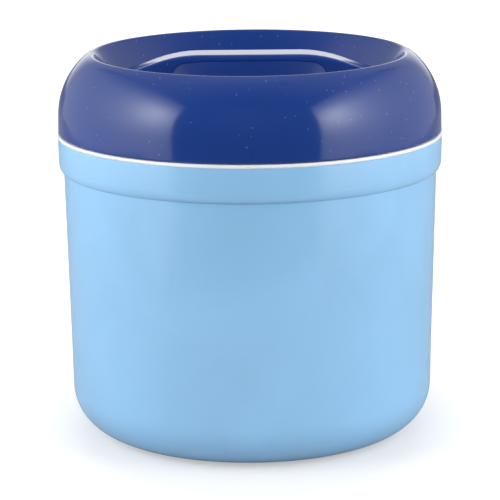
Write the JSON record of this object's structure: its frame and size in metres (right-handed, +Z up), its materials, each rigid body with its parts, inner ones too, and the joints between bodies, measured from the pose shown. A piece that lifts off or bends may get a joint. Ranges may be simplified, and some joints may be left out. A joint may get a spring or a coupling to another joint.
{
  "type": "insulated food bucket with lid",
  "caption": "Round double-walled insulated bucket with a rolled collar and a domed lift-off lid that has a deep round well and a bridge handle across it.",
  "frame": {"origin": "centre of the base, on the surface that the bucket stands on", "axes": "+Z up along the bucket's axis, X along the lid's bridge handle"},
  "size_m": [0.25, 0.25, 0.2494],
  "materials": {
    "light_blue_polypropylene": "gloss",
    "dark_blue_polypropylene": "gloss",
    "white_polypropylene": "satin",
    "polyurethane_foam": "matte",
    "grey_rubber": "matte",
    "grey_sealant": "satin",
    "silicone": "satin",
    "zinc_plated_steel": "satin"
  },
  "bodies": {
    "bucket": {"outer_shell": "light_blue_polypropylene", "inner_liner": "white_polypropylene", "rim_sealant": "grey_sealant", "body_foam": "polyurethane_foam", "fill_plug": "white_polypropylene", "vent_plugs": "white_polypropylene", "foot_pads": "grey_rubber"},
    "lid": {"lid_shell": "dark_blue_polypropylene", "lid_handle": "dark_blue_polypropylene", "handle_screws": "zinc_plated_steel", "lid_foam": "polyurethane_foam", "lid_liner": "white_polypropylene", "lid_fill_plug": "white_polypropylene", "lid_seal": "silicone"}
  },
  "joints": [
    {"name": "lid_lift", "type": "slide", "parent": "bucket", "child": "lid", "axis": [0, 0, 1], "range_m": [0, 0.26]}
  ]
}
